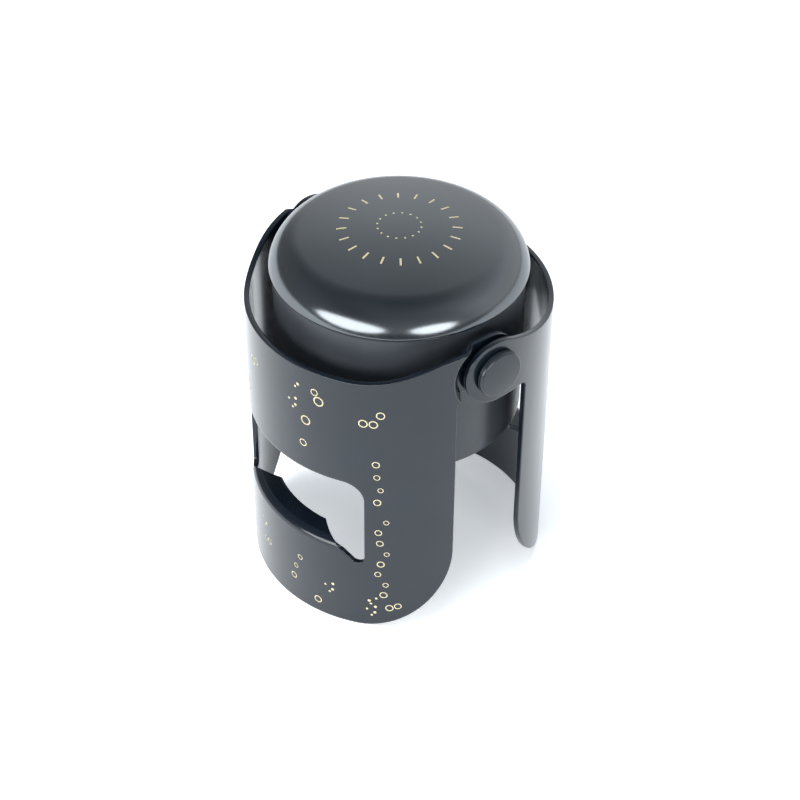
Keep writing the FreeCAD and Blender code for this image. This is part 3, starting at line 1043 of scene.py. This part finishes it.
class STOPPER_OT_studio(bpy.types.Operator):
    """Set up the floor, the surroundings, the lamps and the camera"""
    bl_idname = "stopper.studio"
    bl_label = "Studio"

    def execute(self, context):
        looks = studio()
        mesh = bpy.data.meshes.new("studio_floor")
        right = Vector((math.cos(looks.azimuth), math.sin(looks.azimuth), 0))
        away = Vector((-right.y, right.x, 0))
        far, near = FLOOR_REACH, -FLOOR_BEFORE
        places = ((-far, near), (far, near), (far, far), (-far, far))
        mesh.from_pydata([right * x + away * y for x, y in places], [], [(0, 1, 2, 3)])
        floor = placed("studio_floor", mesh)
        floor.data.materials.append(floor_material(looks.floor))
        white_surroundings(looks.world)
        side = math.degrees(looks.azimuth)
        for name, (turn, rise, distance), size, power, mirrored in SOFTBOXES:
            made = lamp(name, around(side + turn, rise, distance), size, power)
            made.visible_glossy = mirrored
        self.set_camera(context, looks)
        context.scene.view_settings.view_transform = "Standard"
        return {"FINISHED"}

    def set_camera(self, context, looks):
        """Place the camera as the photo's stands"""
        turn = looks.azimuth
        right = Vector((math.cos(turn), math.sin(turn), 0))
        back = Vector((math.sin(turn), -math.cos(turn), 0))
        aim = (right * looks.aim_side + Vector((0, 0, looks.aim_height))) * MM
        outward = back * math.cos(looks.elevation) + Vector((0, 0, math.sin(looks.elevation)))
        up = outward.cross(right)
        tilted_right = math.cos(looks.roll) * right + math.sin(looks.roll) * up
        tilted_up = -math.sin(looks.roll) * right + math.cos(looks.roll) * up
        place = Matrix((tilted_right, tilted_up, outward)).transposed().to_4x4()
        place.translation = aim + outward * looks.distance * MM
        data = bpy.data.cameras.new("camera")
        data.sensor_fit = "HORIZONTAL"
        data.sensor_width = 36.0
        data.lens = looks.lens
        data.clip_start = 0.01
        camera = placed("camera", data)
        camera.matrix_world = place
        context.scene.camera = camera


# Panel and registration

class STOPPER_PT_panel(bpy.types.Panel):
    """Lists the stopper's pieces and its studio"""
    bl_idname = "STOPPER_PT_panel"
    bl_label = "Champagne Stopper"
    bl_space_type = "VIEW_3D"
    bl_region_type = "UI"
    bl_category = "Stopper"

    def draw(self, context):
        for group in GROUPS:
            column = self.layout.column(align=True)
            values = getattr(context.scene, group)
            for name in values.__annotations__:
                column.prop(values, name)
        for operator in OPERATORS:
            self.layout.operator(operator.bl_idname)


GROUPS = {
    "stopper_wings": WingSizes,
    "stopper_paint": PaintLooks,
    "stopper_cap": CapLooks,
    "stopper_print": PrintLooks,
    "stopper_studio": StudioLooks,
}
OPERATORS = (STOPPER_OT_finishes, STOPPER_OT_cover, STOPPER_OT_crown_marks, STOPPER_OT_rivets,
             STOPPER_OT_wings, STOPPER_OT_bubbles, STOPPER_OT_studio)


def register():
    for name, group in GROUPS.items():
        bpy.utils.register_class(group)
        setattr(bpy.types.Scene, name, bpy.props.PointerProperty(type=group))
    for operator in OPERATORS:
        bpy.utils.register_class(operator)
    bpy.utils.register_class(STOPPER_PT_panel)


def unregister():
    bpy.utils.unregister_class(STOPPER_PT_panel)
    for operator in reversed(OPERATORS):
        bpy.utils.unregister_class(operator)
    for name, group in reversed(GROUPS.items()):
        delattr(bpy.types.Scene, name)
        bpy.utils.unregister_class(group)


def main():
    register()
    bpy.ops.stopper.finishes()
    bpy.ops.stopper.cover()
    bpy.ops.stopper.crown_marks()
    bpy.ops.stopper.rivets()
    bpy.ops.stopper.wings()
    bpy.ops.stopper.bubbles()
    bpy.ops.stopper.studio()


if __name__ == "__main__":
    main()
